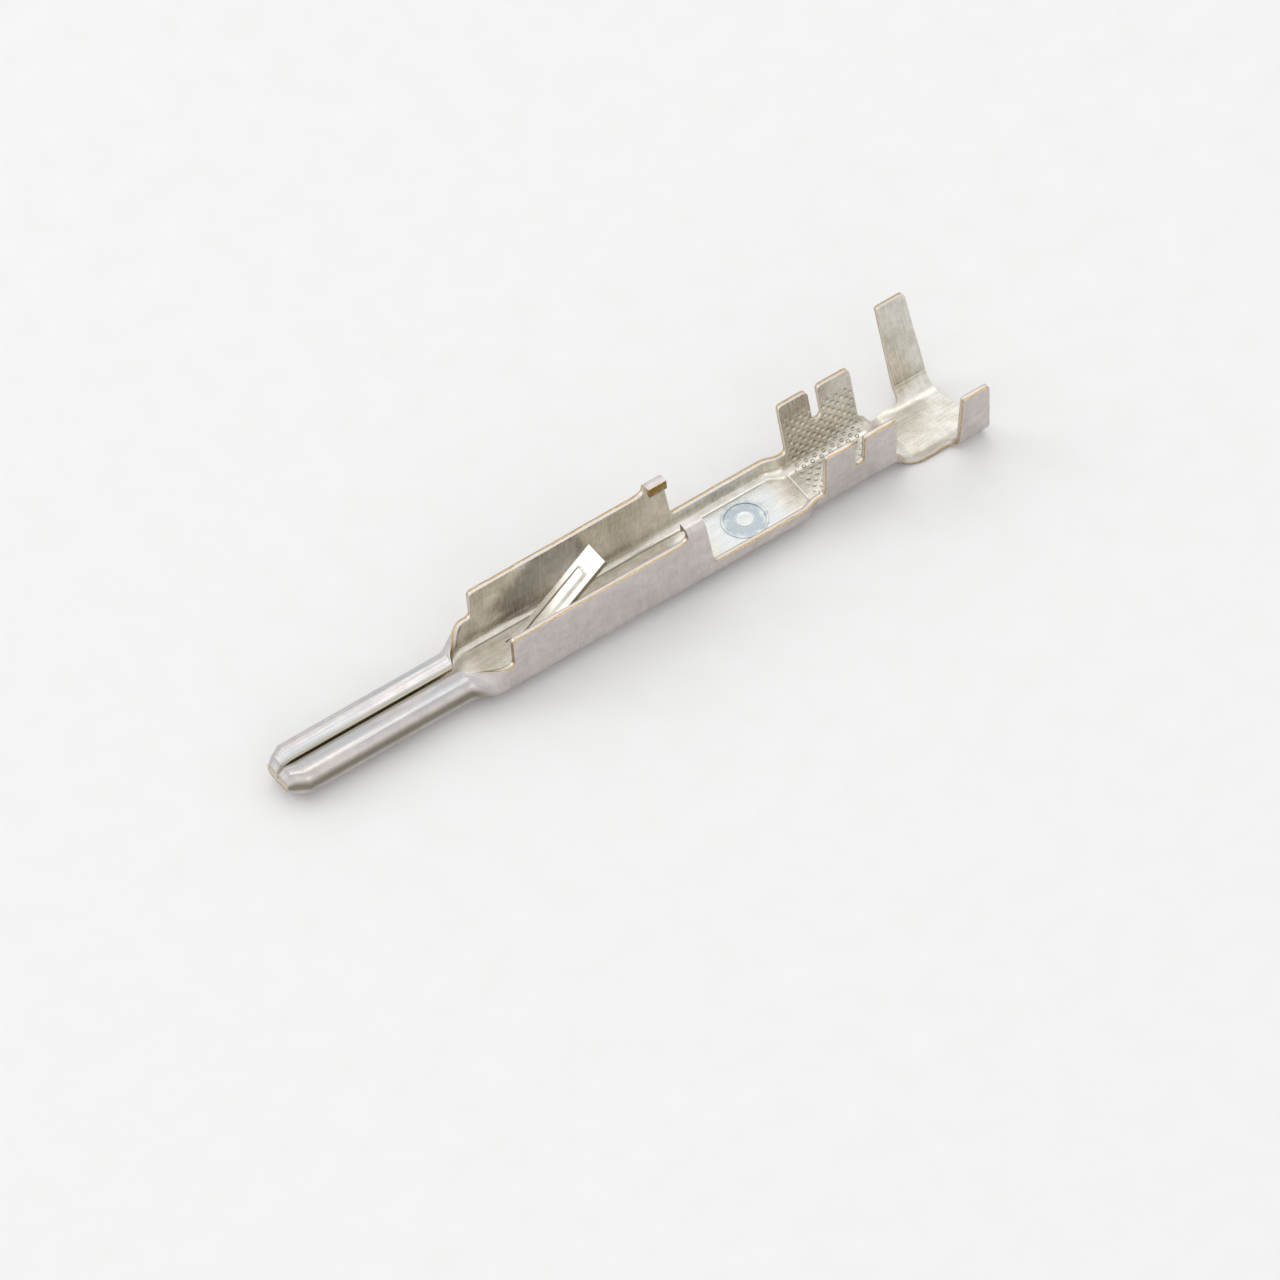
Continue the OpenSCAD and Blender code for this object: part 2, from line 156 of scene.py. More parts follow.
CELLS = {Part.LANCE: 8, Part.GAP: 1, Part.FLOOR: 4, Part.BEND: 10, Part.SIDE: 2, Part.ROLL: 8,
         Part.LIP: 2, Part.WING: 5, Part.CURL: 8, Part.STUB: 4}
PARTS = [part for part in Part for _ in range(CELLS[part])]
HALF = len(PARTS)
LOW_EDGE = PARTS.index(Part.WING)
STUB_START = PARTS.index(Part.STUB)
Step = tuple[float, float]
Point = tuple[float, float, float]


def ease(s: float) -> float:
    """Smooth step.

    Args:
        s: Share of the way, which may lie outside 0 to 1.

    Returns:
        The eased share, from 0 to 1.
    """
    c = max(0.0, min(1.0, s))
    return c * c * (3 - 2 * c)


def mix(a: float, b: float, s: float) -> float:
    """Value at the share s of the way from a to b."""
    return a + (b - a) * s


def corner(r: float, d: float) -> float:
    """How far a rounded corner is off the square one, at a distance d from its upright side."""
    if d >= r:
        return 0.0
    return r if d <= 0 else r - math.sqrt(r * r - (r - d) ** 2)


def steps(length: float, turn: float, count: int) -> list[Step]:
    """A stretch of sheet as equal steps, each a length and the angle it turns through."""
    return [(length / count, turn / count)] * count


def trace(walk: list[Step]) -> list[tuple[float, float, float, float]]:
    """Walks the steps of a section.

    Args:
        walk: Lengths and turns in degrees.

    Returns:
        The place across, the height, the heading in degrees and the distance walked, at every
        point of the walk.
    """
    y = z = heading = done = 0.0
    out = [(y, z, heading, done)]
    for length, turn in walk:
        half = math.radians(turn) / 2
        k = 1.0 if abs(half) < 1e-6 else math.sin(half) / half
        mid = math.radians(heading) + half
        y += length * k * math.cos(mid)
        z += length * k * math.sin(mid)
        heading += turn
        done += length
        out.append((y, z, heading, done))
    return out


class Strip:
    """The folding rules of the contact: where each point of the flat blank ends up."""

    # Shares of the neck's length at which it is open and wide, and its lips begin to turn and end
    NECK_DONE = 0.84
    NECK_WIDE = 0.672
    TURN_BEGINS = 0.04
    LIP_GONE = 0.2
    # Shares of the height of an open side, and of the floor up to the lines of the lance
    SIDE_SHARE = 0.4
    LIP_SHARE = 0.2
    SPLIT_SHARE = 0.9
    # Throat: where it is open, where it has dropped, and how much of its curve is left
    OPEN_SHARE = 0.4
    DROP_SHARE = 0.7
    FLATTEN = 0.5
    # Cradle: shares of its bend up to the low edge, and of the rest up to the straight wing
    CRADLE = (0.6, 0.1, 0.2, 0.1)
    WING_FOOT = 0.2
    WIRE_SIDE = 0.1
    ROOT_ROOM = 1.5
    # Tip: how far the lips close and from where, how much of the hollow is pressed shut
    LIPS_CLOSE = 0.75
    LIPS_REACH = 0.4
    HOLLOW_SHUT = 0.98
    TIP_RISE = 3

    def __init__(self, size: Sizes) -> None:
        """Works out the places along the strip.

        Args:
            size: Sizes of the contact.
        """
        s = self.s = size
        self.box_rear = -s.mark_x
        self.box_front = self.box_rear - s.box_l
        self.tab_front = self.box_rear - s.rear_lean - s.tab_l
        self.neck_front = self.box_front - s.neck_l
        self.tip_x = self.neck_front - s.blade_l
        self.lance_x = self.box_front + s.lance_root
        self.lance_end = self.lance_x + s.lance_l
        self.window_rear = self.lance_end + s.lance_gap
        self.bridge_rear = self.box_rear + s.bridge_l
        self.wire_cradle = self.bridge_rear + s.gather_l
        self.wire_front = self.wire_cradle + self.ROOT_ROOM * s.root_r
        self.notch_front = self.wire_front + s.notch_x
        self.notch_rear = self.notch_front + s.notch_w
        self.wire_rear = self.wire_front + s.wire_l
        self.cradle_front = self.wire_rear + s.throat_l
        left = self.cradle_front + s.left_x
        right = self.cradle_front + s.right_x
        self.wings = ((left, left + s.left_l, s.left_h), (right, right + s.right_l, s.right_h))
        self.tab_bend = s.box_h + s.tab_rise - s.sheet - s.tab_r
        self.wire_turn = 90 - s.wire_flare
        self.wire_bend = self.bend_len(s.wire_r, self.wire_turn)
        self.wire_low = (self.bend_top(self.wire_bend, self.wire_turn)
                         + self.WIRE_SIDE * math.sin(math.radians(self.wire_turn)))
        self.cradle_turn = 90 - s.cradle_flare
        self.cradle_mid = s.cradle_r - s.half_t
        self.cradle_bend = self.bend_len(s.cradle_r, self.cradle_turn)
        self.notch_r = s.notch_w / 2
        self.notch_edge = s.wire_h - s.notch_d + self.notch_r
        bend = self.lance_bend = (s.lance_r + s.half_t) * math.radians(s.lance_angle)
        self.lance_n = 160
        self.lance_line = trace([
            (s.lance_l / self.lance_n,
             s.lance_angle * max(0.0, min(1.0, (bend * self.lance_n / s.lance_l - i))) * s.lance_l
             / self.lance_n / bend)
            for i in range(self.lance_n)
        ])

    def bend_len(self, outer_r: float, turn: float) -> float:
        """Length of a bend of an outer radius on the middle of the sheet."""
        return (outer_r - self.s.half_t) * math.radians(turn)

    def bend_top(self, bend: float, turn: float) -> float:
        """Height of the end of a bend over the underside."""
        return self.s.half_t + bend / math.radians(turn) * (1 - math.cos(math.radians(turn)))

    # ---- sections

    def floor_steps(self, flat: float) -> list[Step]:
        """Steps over half the floor, split at the sides of the lance and of its window."""
        s = self.s
        k = min(1.0, self.SPLIT_SHARE * flat / (s.lance_w / 2 + s.lance_gap))
        lance, gap = k * s.lance_w / 2, k * s.lance_gap
        return (steps(lance, 0, CELLS[Part.LANCE]) + steps(gap, 0, CELLS[Part.GAP])
                + steps(flat - lance - gap, 0, CELLS[Part.FLOOR]))

    def half(self, flat: float, bend: float, turn: float, side: float, roll: float,
             roll_turn: float, lip: float, lip_turn: float, wing: float) -> list[Step]:
        """Steps of a half section of the rolled and channel shaped lengths."""
        s = self.s
        curl = (s.tab_r + s.half_t) * math.pi / 2
        stub = s.tab_reach - s.tab_r - s.sheet
        return (self.floor_steps(flat) + steps(bend, turn, CELLS[Part.BEND])
                + steps(side, 0, CELLS[Part.SIDE]) + steps(roll, roll_turn, CELLS[Part.ROLL])
                + steps(lip, lip_turn, CELLS[Part.LIP]) + steps(wing, 0, CELLS[Part.WING])
                + steps(curl, 90, CELLS[Part.CURL]) + steps(stub, 0, CELLS[Part.STUB]))

    def open_half(self, flat: float, bend: float, turn: float, side: float,
                  wing: float) -> list[Step]:
        """Steps of a half section with a straight side."""
        return self.half(flat, bend, turn, self.SIDE_SHARE * side, self.SIDE_SHARE * side, 0,
                         self.LIP_SHARE * side, 0, wing)

    def low_z(self, x: float) -> float:
        """Height of the low edge, with the curves at the feet of the taller walls."""
        s = self.s
        if x <= self.box_rear:
            return mix(s.shoulder_h + s.shoulder_r, s.low_h + s.low_r,
                       (x - self.box_front) / s.box_l)
        if x <= self.wire_front:
            return (s.low_h + corner(s.low_r, x - self.box_rear)
                    + corner(s.root_r, self.wire_front - x))
        if x <= self.notch_front:
            return mix(s.low_h + s.root_r, self.notch_edge, (x - self.wire_front) / s.notch_x)
        if x <= self.notch_rear:
            off = self.notch_r - abs(x - self.notch_front - self.notch_r)
            return self.notch_edge - self.notch_r + corner(self.notch_r, off)
        return mix(self.notch_edge, self.wire_low,
                   (x - self.notch_rear) / (self.wire_rear - self.notch_rear))

    def top_z(self, x: float) -> float:
        """Height of the top edge of the box and of the wire wings."""
        s = self.s
        if x <= self.box_rear:
            return (s.box_h - corner(s.corner_r, x - self.box_front)
                    + (self.tab_bend - s.box_h) * corner(1, (self.tab_front - x) / s.tab_fillet))
        if x < self.notch_front + self.notch_r:
            return s.wire_h - corner(s.wing_r, x - self.wire_front) - corner(
                s.wing_r, self.notch_front - x)
        return s.wire_h - s.wire_step - corner(s.wing_r, x - self.notch_rear) - corner(
            s.wing_r, self.wire_rear - x)

    def neck_half(self, x: float) -> list[Step]:
        """Half section of the neck, where the blade's lips open out to the walls of the box."""
        s = self.s
        share = (x - self.neck_front) / s.neck_l
        opened = ease(share / self.NECK_DONE)
        wide = ease(share / self.NECK_WIDE)
        turn = 90 * (1 - ease((share - self.TURN_BEGINS) / (self.NECK_DONE - self.TURN_BEGINS)))
        gone = ease(share / self.LIP_GONE)
        side = s.shoulder_h - s.box_r + corner(s.shoulder_r, self.box_front - x)
        bend = self.bend_len(s.blade_r, 90)
        flat = s.blade_w / 2 - s.blade_r
        return self.half(mix(flat, s.box_w / 2 - s.box_r, wide),
                         mix(bend, self.bend_len(s.box_r, 90), wide), 90,
                         mix(s.blade_h - 2 * s.blade_r, self.SIDE_SHARE * side, opened),
                         mix(bend, self.SIDE_SHARE * side, opened), turn,
                         mix(flat - s.seam / 2, self.LIP_SHARE * side, gone),
                         s.lip_fall * (1 - gone), s.low_h)

    def arc(self, length: float, count: int, curve: float = 1.0) -> list[Step]:
        """Steps along the cradle's wide bend."""
        return steps(length, curve * math.degrees(length / self.cradle_mid), count)

    def cradle_half(self, flat: float, w: float, curve: float, wing: float) -> list[Step]:
        """Half section of the cradle: its low edge is at a width w beyond the flat floor."""
        rest = self.cradle_bend - w
        walk = self.floor_steps(flat)
        for share, part in zip(self.CRADLE, (Part.BEND, Part.SIDE, Part.ROLL, Part.LIP)):
            walk += self.arc(share * w, CELLS[part], curve)
        return (walk + self.arc(self.WING_FOOT * rest, CELLS[Part.WING])
                + self.arc((1 - self.WING_FOOT) * rest, CELLS[Part.CURL])
                + steps(wing, 0, CELLS[Part.STUB]))

    def throat_half(self, x: float, wing_x: float) -> list[Step]:
        """Half section of the throat: almost flat, and bent up again toward the wing's root."""
        s = self.s
        past = x - self.wire_rear
        flat = mix(s.wire_flat, s.cradle_flat, ease(past / s.throat_l)) / 2
        opened = ease(past / (s.throat_l * self.OPEN_SHARE))
        curve = mix(self.FLATTEN, 1, ease(1 - (wing_x - x) / s.throat_l))
        one = self.open_half(flat, self.wire_bend, self.wire_turn, self.WIRE_SIDE, s.low_h)
        two = self.cradle_half(flat, s.throat_w + corner(s.ear_root, wing_x - x), curve, s.low_h)
        return [(mix(a[0], b[0], opened), mix(a[1], b[1], opened)) for a, b in zip(one, two)]

    def half_at(self, x: float, side: int) -> list[Step]:
        """Steps of the folded half at x.

        Args:
            x: Place along the strip.
            side: 0 for the left half and 1 for the right half.

        Returns:
            The steps from the centre line to the outer edge.
        """
        s = self.s
        front, rear, height = self.wings[side]
        if x <= self.neck_front:
            bend = self.bend_len(s.blade_r, 90)
            flat = s.blade_w / 2 - s.blade_r
            return self.half(flat, bend, 90, s.blade_h - 2 * s.blade_r, bend, 90,
                             flat - s.seam / 2, s.lip_fall, s.low_h)
        if x < self.box_front:
            return self.neck_half(x)
        if self.wire_rear < x < front:
            return self.throat_half(x, front)
        if x >= front:
            top = height - corner(s.ear_r, x - front) - corner(s.ear_r, rear - x)
            straight = (top - self.bend_top(self.cradle_bend, self.cradle_turn)) / math.sin(
                math.radians(self.cradle_turn))
            return self.cradle_half(s.cradle_flat / 2, s.throat_w + s.ear_root, 1, straight)
        t = ease((x - self.bridge_rear) / s.gather_l)
        bend = mix(self.bend_len(s.box_r, 90), self.wire_bend, t)
        turn = mix(90, self.wire_turn, t)
        low, slope = self.low_z(x), math.sin(math.radians(turn))
        return self.open_half(mix(s.box_w / 2 - s.box_r, s.wire_flat / 2, t), bend, turn,
                              (low - self.bend_top(bend, turn)) / slope,
                              (self.top_z(x) - low) / slope)

    def base_z(self, x: float) -> float:
        """Height of the strip's underside."""
        return -self.s.cradle_drop * ease(
            (x - self.wire_rear) / self.s.throat_l / self.DROP_SHARE)

    # ---- the blank

    def places(self) -> list[Point]:
        """Places of the sections along the blank, on the left and on the right side."""
        s, n = self.s, 6
        quarter = [math.pi / 2 * i / n for i in range(1, n + 1)]

        def fast(x: float, r: float) -> list[float]:
            return [x + r * (1 - math.cos(a)) for a in quarter]

        def slow(x: float, r: float) -> list[float]:
            return [x - r * (1 - math.sin(a)) for a in quarter]

        def evenly(a: float, b: float, pitch: float) -> list[float]:
            count = max(1, round((b - a) / pitch))
            return [mix(a, b, i / count) for i in range(1, count)]

        x = [self.tip_x] + evenly(self.tip_x, self.tip_x + s.tip_l / 3, 0.03)
        x += [self.tip_x + s.tip_l / 3] + evenly(x[-1] + 0.03, self.tip_x + s.tip_l, 0.05)
        x += [self.tip_x + s.tip_l] + evenly(self.tip_x + s.tip_l, self.neck_front, 0.25)
        x += [self.neck_front] + evenly(self.neck_front, self.box_front - s.shoulder_r, 0.03)
        x += [self.box_front - s.shoulder_r] + slow(self.box_front, s.shoulder_r)
        x += fast(self.box_front, s.corner_r) + [self.lance_x]
        bend_end = self.lance_x + self.lance_bend
        rib_end = self.lance_end - s.rib_stop
        x += evenly(self.lance_x, bend_end, 0.03) + [bend_end]
        x += evenly(bend_end, bend_end + 0.15, 0.03) + [bend_end + 0.15]
        x += evenly(bend_end + 0.15, rib_end - 0.15, 0.2) + [rib_end - 0.15]
        x += evenly(rib_end - 0.15, rib_end + 0.03, 0.025) + [rib_end + 0.03]
        x += evenly(rib_end + 0.03, self.lance_end, 0.1) + [self.lance_end, self.window_rear]
        x += evenly(self.window_rear, self.tab_front - s.tab_fillet, 0.25)
        x += [self.tab_front - s.tab_fillet] + slow(self.tab_front, s.tab_fillet)
        x += evenly(self.tab_front, self.box_rear, 0.1) + [self.box_rear]
        x += fast(self.box_rear, s.low_r) + evenly(self.box_rear + s.low_r, self.bridge_rear, 0.25)
        x += [self.bridge_rear] + evenly(self.bridge_rear, self.wire_cradle, 0.03)
        x += [self.wire_cradle, self.wire_front - s.root_r] + slow(self.wire_front, s.root_r)
        x += fast(self.wire_front, s.wing_r)
        x += evenly(self.wire_front + s.wing_r, self.notch_front - s.wing_r, 0.15)
        x += [self.notch_front - s.wing_r] + slow(self.notch_front, s.wing_r)
        x += [self.notch_front + self.notch_r * (1 - math.cos(math.pi * i / 14))
              for i in range(1, 14)] + [self.notch_rear]
        x += fast(self.notch_rear, s.wing_r)
        x += evenly(self.notch_rear + s.wing_r, self.wire_rear - s.wing_r, 0.15)
        x += [self.wire_rear - s.wing_r] + slow(self.wire_rear, s.wing_r)
        left, right = self.wings
        out = [(v, v) for v in x]
        out += [(mix(self.wire_rear, left[0], i / 44), mix(self.wire_rear, right[0], i / 44))
                for i in range(1, 44)]
        ears = [[w[0]] + fast(w[0], s.ear_r)
                + [mix(w[0] + s.ear_r, w[1] - s.ear_r, i / 7) for i in range(1, 8)]
                + slow(w[1], s.ear_r) for w in self.wings]
        return out + list(zip(*ears))

    def is_there(self, x: float, part: Part, side: int) -> bool:
        """Whether a cell of the blank is left after stamping.

        Args:
            x: Middle of the cell along the strip.
            part: Stretch across that the cell is on.
            side: 0 for the left half and 1 for the right half.

        Returns:
            True if the sheet is there.
        """
        ear = self.wings[side][0] < x < self.wings[side][1]
        if part is Part.LANCE:
            return not self.lance_end < x < self.window_rear
        if part is Part.GAP:
            return not self.lance_x < x < self.window_rear
        if part is Part.WING:
            return (ear or self.box_front < x < self.box_rear
                    or self.wire_front < x < self.notch_front
                    or self.notch_rear < x < self.wire_rear)
        if part in (Part.CURL, Part.STUB):
            return ear or self.tab_front < x < self.box_rear
        return True

    def lance_point(self, x: float, across: float) -> Point:
        """Place of a point of the lance, which stands up out of its window."""
        s = self.s
        along = x - self.lance_x
        at = min(self.lance_n - 1, int(along / s.lance_l * self.lance_n))
        a, b = self.lance_line[at], self.lance_line[at + 1]
        t = along / s.lance_l * self.lance_n - at
        heading = math.radians(mix(a[2], b[2], t))
        sides = 1 - ease((abs(across) - s.rib_w * 0.3) / (s.rib_w * 0.25))
        ends = (ease((along - self.lance_bend) / 0.15)
                * (1 - ease((along - s.lance_l + s.rib_stop + 0.07) / 0.08)))
        up = s.rib_h * sides * ends
        return (self.lance_x + mix(a[0], b[0], t) - up * math.sin(heading), across,
                s.half_t + mix(a[1], b[1], t) + up * math.cos(heading))

    def coined(self, p: Point) -> Point:
        """Place of a point of the tip, which is coined to a smaller front face."""
        s = self.s
        t = min(1.0, (p[0] - self.tip_x) / s.tip_l)
        wide = (s.tip_w - s.sheet) / (s.blade_w - s.sheet)
        high = (s.tip_h - s.sheet) / (s.blade_h - s.sheet)
        mid = s.blade_h / 2
        close = 1.0
        if p[2] > mid:
            close -= self.LIPS_CLOSE * (1 - t) * max(0.0, 1 - abs(p[1]) / self.LIPS_REACH)
        return (p[0], p[1] * mix(wide, 1, t) * close,
                mid + (p[2] - mid) * mix(high, 1, min(1.0, self.TIP_RISE * t)))

    def section(self, place: tuple[float, float]) -> list[tuple[Point, tuple[float, float]]]:
        """The folded section at a place.

        Args:
            place: Place along the strip on the left and on the right side.

        Returns:
            Place and flat position of every point, from the left edge to the right edge.
        """
        s = self.s
        halves = []
        for side, sign in ((0, 1), (1, -1)):
            walk = trace(self.half_at(place[side], side))
            here, there, front = place[side], place[1 - side], self.wings[side][0]
            flat = walk[CELLS[Part.LANCE] + CELLS[Part.GAP] + CELLS[Part.FLOOR]][0]
            points = []
            for j, (y, z, _, done) in enumerate(walk):
                x = here
                if y < flat - 1e-9:
                    x = mix(there, here, 0.5 + y / flat / 2)
                elif j > LOW_EDGE and self.tab_front < here <= self.box_rear:
                    lean = (here - self.tab_front) / (self.box_rear - self.tab_front)
                    x -= s.rear_lean * lean * min(1.0, (j - LOW_EDGE) / CELLS[Part.WING])
                elif j > STUB_START and here > front:
                    x = mix(x, front, s.ear_taper * (j - STUB_START) / CELLS[Part.STUB])
                p = (x, sign * y, z + s.half_t + self.base_z(x))
                if j <= CELLS[Part.LANCE] and self.lance_x < here <= self.lance_end:
                    p = self.lance_point(here, sign * y)
                if here <= self.tip_x + s.tip_l:
                    p = self.coined(p)
                points.append((p, (here, sign * done)))
            halves.append(points)
        return halves[0][::-1] + halves[1][1:]


def activate(obj: bpy.types.Object) -> None:
    """Deselects everything, then selects one object and makes it active."""
    bpy.ops.object.select_all(action="DESELECT")
    obj.select_set(True)
    bpy.context.view_layer.objects.active = obj


def store(obj: bpy.types.Object, name: str, values: list[float]) -> None:
    """Writes a number for each vertex as a named attribute of the mesh."""
    data = obj.data.attributes.new(name, "FLOAT", "POINT")
    data.data.foreach_set("value", values)


@dataclass
class FoldedBlank:
    """The contact: a blank that is stamped, folded, given its thickness and coined at the tip.

    Attributes:
        strip: The folding rules.
        name: Name of the finished piece.
    """

    strip: Strip
    name: str = "folded_contact"

    def build(self) -> bpy.types.Object:
        """Makes the contact.

        Returns:
            The finished piece at the frame's origin, in metres.
        """
        places = self.strip.places()
        obj = self.blank(len(places))
        self.stamp(obj, places)
        self.fold(obj, places)
        self.trim(obj)
        self.thicken(obj)
        self.coin(obj)
        self.finish(obj)
        log.info("%s: %d triangles", self.name,
                 sum(len(p.vertices) - 2 for p in obj.data.polygons))
        return obj

    def blank(self, count: int) -> bpy.types.Object:
        """Lays out the flat blank as a grid of one column per place and one row per point."""
        bpy.ops.mesh.primitive_grid_add(x_subdivisions=count - 1, y_subdivisions=2 * HALF, size=1,
                                        location=(0, 0, 0))
        obj = bpy.context.object
        obj.name = obj.data.name = self.name
        self.cell = [(round((v.co.x + 0.5) * (count - 1)), round((v.co.y + 0.5) * 2 * HALF))
                     for v in obj.data.vertices]
        return obj

    def stamp(self, obj: bpy.types.Object, places: list[tuple[float, float]]) -> None:
        """Marks the cells that the press tool cuts out of the blank."""
        activate(obj)
        bpy.ops.object.mode_set(mode="EDIT")
        bpy.ops.mesh.select_mode(type="FACE")
        bpy.ops.mesh.select_all(action="DESELECT")
        bpy.ops.object.mode_set(mode="OBJECT")
        for polygon in obj.data.polygons:
            i = min(self.cell[v][0] for v in polygon.vertices)
            j = min(self.cell[v][1] for v in polygon.vertices) - HALF
            side, part = (1, PARTS[j]) if j >= 0 else (0, PARTS[-j - 1])
            x = (places[i][side] + places[i + 1][side]) / 2
            polygon.select = not self.strip.is_there(x, part, side)

    def fold(self, obj: bpy.types.Object, places: list[tuple[float, float]]) -> None:
        """Puts each point of the blank to its folded place and keeps its flat one as a map."""
        sections = [self.strip.section(place) for place in places]
        flat = []
        for vertex, (i, j) in zip(obj.data.vertices, self.cell):
            vertex.co, where = Vector(sections[i][j][0]), sections[i][j][1]
            flat.append(where)
        layer = obj.data.uv_layers[0] if obj.data.uv_layers else obj.data.uv_layers.new()
        layer.name = "sheet"
        for loop in obj.data.loops:
            layer.data[loop.index].uv = flat[loop.vertex_index]
        store(obj, "along", [v.co.x for v in obj.data.vertices])
        box = (self.strip.tab_front - 0.001, self.strip.box_rear + 0.001)
        store(obj, "swell", [
            max(0, abs(j - HALF) - STUB_START) / CELLS[Part.STUB] if box[0] < places[i][0] < box[1]
            else 0.0 for i, j in self.cell])

    def trim(self, obj: bpy.types.Object) -> None:
        """Deletes the marked cells."""
        activate(obj)
        bpy.ops.object.mode_set(mode="EDIT")
        bpy.ops.mesh.delete(type="FACE")
        bpy.ops.mesh.select_all(action="SELECT")
        bpy.ops.mesh.delete_loose()
        bpy.ops.object.mode_set(mode="OBJECT")

    def thicken(self, obj: bpy.types.Object) -> None:
        """Gives the sheet its thickness, half of it on each side of the folded surface."""
        activate(obj)
        solid = obj.modifiers.new("sheet", "SOLIDIFY")
        solid.thickness = self.strip.s.sheet
        solid.offset = 0
        solid.use_even_offset = True
        solid.use_rim = True
        solid.material_offset = 1
        solid.material_offset_rim = 2
        for _ in range(3):
            bpy.ops.object.material_slot_add()
        bpy.ops.object.modifier_apply(modifier=solid.name)
        inner = {v for p in obj.data.polygons if p.material_index == 1 for v in p.vertices}
        store(obj, "inner", [float(v.index in inner) for v in obj.data.vertices])

    def coin(self, obj: bpy.types.Object) -> None:
        """Presses the hollow of the blade's tip shut, and swells the sheared ends of the tabs."""
        size, strip = self.strip.s, self.strip
        along, inner, swell = (obj.data.attributes[name].data
                               for name in ("along", "inner", "swell"))
        mid = size.blade_h / 2
        for v in obj.data.vertices:
            x = along[v.index].value
            if x <= strip.tip_x + size.tip_l + 0.001:
                t = (x - strip.tip_x) / size.tip_l
                v.co.x = x
                if inner[v.index].value > 0.5:
                    v.co.z = mid + (v.co.z - mid) * (1 - strip.HOLLOW_SHUT * (1 - t))
            if inner[v.index].value > 0.5:
                v.co.z -= (size.tab_end_h - size.sheet) * swell[v.index].value

    def finish(self, obj: bpy.types.Object) -> None:
        """Scales the piece to metres and smooths its shading across the bends."""
        activate(obj)
        bpy.ops.transform.resize(value=(MM, MM, MM), center_override=(0, 0, 0))
        bpy.ops.object.transform_apply(location=True, rotation=True, scale=True)
        bpy.ops.object.shade_smooth_by_angle(angle=math.radians(30))


def linear(text: str) -> tuple[float, float, float, float]:
    """Turns an sRGB hex colour into linear values.

    Args:
        text: Colour as #RRGGBB.

    Returns:
        Red, green, blue and alpha.
    """
    values = [int(text[i:i + 2], 16) / 255 for i in (1, 3, 5)]
    red, green, blue = (v / 12.92 if v <= 0.04045 else ((v + 0.055) / 1.055) ** 2.4
                        for v in values)
    return red, green, blue, 1.0


@dataclass(frozen=True)
class Finish:
    """A plated or sheared metal surface.

    Attributes:
        name: The real material and how its surface was made.
        light: Colour where it is cleanest.
        dark: Colour where it is dullest.
        roughness: Middle roughness.
        grain: Depth of the fine rolling grain in millimetres.
    """

    name: str
    light: str
    dark: str
    roughness: float
    grain: float


OUTER = Finish("reflowed tin on rolled brass strip, outer side", "#D8D1CE", "#C3BBB7", 0.30, 0.0008)
INNER = Finish("reflowed tin on rolled brass strip, inner side", "#ECE8E0", "#C6C1B5", 0.26, 0.001)
EDGE = Finish("sheared brass edge with smeared tin", "#DDBF85", "#A08248", 0.38, 0.004)


class Shader:
    """A node material that is put together one node at a time."""

    def __init__(self, name: str) -> None:
        """Starts an empty material with an output.

        Args:
            name: Name of the material.
        """
        self.material = bpy.data.materials.new(name)
        self.material.use_nodes = True
        self.tree = self.material.node_tree
        self.tree.nodes.clear()
        self.output = self.tree.nodes.new("ShaderNodeOutputMaterial")

    def add(self, kind: str, inputs: dict | None = None, **settings: object) -> bpy.types.Node:
        """Adds a node.

        Args:
            kind: Node type without its prefix.
            inputs: Sockets by name or number, each with a value or with a socket to link.
            **settings: Properties of the node.

        Returns:
            The node.
        """
        node = self.tree.nodes.new("ShaderNode" + kind)
        for key, value in settings.items():
            setattr(node, key, value)
        for key, value in (inputs or {}).items():
            if isinstance(value, bpy.types.NodeSocket):
                self.tree.links.new(value, node.inputs[key])
            else:
                node.inputs[key].default_value = value
        return node

    def math(self, operation: str, *values: object) -> bpy.types.NodeSocket:
        """Adds a math node and gives its output."""
        return self.add("Math", dict(enumerate(values)), operation=operation).outputs[0]

    def ramp(self, value: object, low: float, high: float, a: float = 0.0,
             b: float = 1.0) -> bpy.types.NodeSocket:
        """Adds a smooth, clamped map from low..high to a..b and gives its output."""
        node = self.add("MapRange", {"Value": value, "From Min": low, "From Max": high,
                                     "To Min": a, "To Max": b}, interpolation_type="SMOOTHSTEP")
        return node.outputs["Result"]

    def noise(self, vector: object, scale: tuple[float, float, float], detail: float = 3.0,
              rough: float = 0.55) -> bpy.types.NodeSocket:
        """Adds noise with its own number of cells to the millimetre in each direction."""
        place = self.add("Mapping", {"Vector": vector, "Scale": scale})
        return self.add("TexNoise", {"Vector": place.outputs[0], "Scale": 1.0, "Detail": detail,
                                     "Roughness": rough}).outputs["Fac"]

    def blend(self, factor: object, a: object, b: object) -> bpy.types.NodeSocket:
        """Mixes two colours and gives the result."""
        node = self.add("Mix", {"Factor": factor}, data_type="RGBA")
        for socket, value in ((node.inputs[6], a), (node.inputs[7], b)):
            if isinstance(value, bpy.types.NodeSocket):
                self.tree.links.new(value, socket)
            else:
                socket.default_value = value
        return node.outputs[2]

    def bump(self, height: object, depth: float, under: object = None) -> bpy.types.NodeSocket:
        """Adds a bump of a depth in millimetres, on top of another one if there is one."""
        inputs = {"Height": height, "Distance": depth * MM, "Strength": 1.0}
        if under is not None:
            inputs["Normal"] = under
        return self.add("Bump", inputs).outputs[0]

    def metal(self, colour: object, roughness: object, normal: object) -> bpy.types.Material:
        """Ends the material in a metal surface and gives it."""
        surface = self.add("BsdfPrincipled", {"Base Color": colour, "Metallic": 1.0,
                                              "Roughness": roughness, "Normal": normal})
        self.tree.links.new(surface.outputs[0], self.output.inputs["Surface"])
        return self.material


class Sides(Enum):
    """The two sides of the strip."""

    OUT = "out"
    IN = "in"


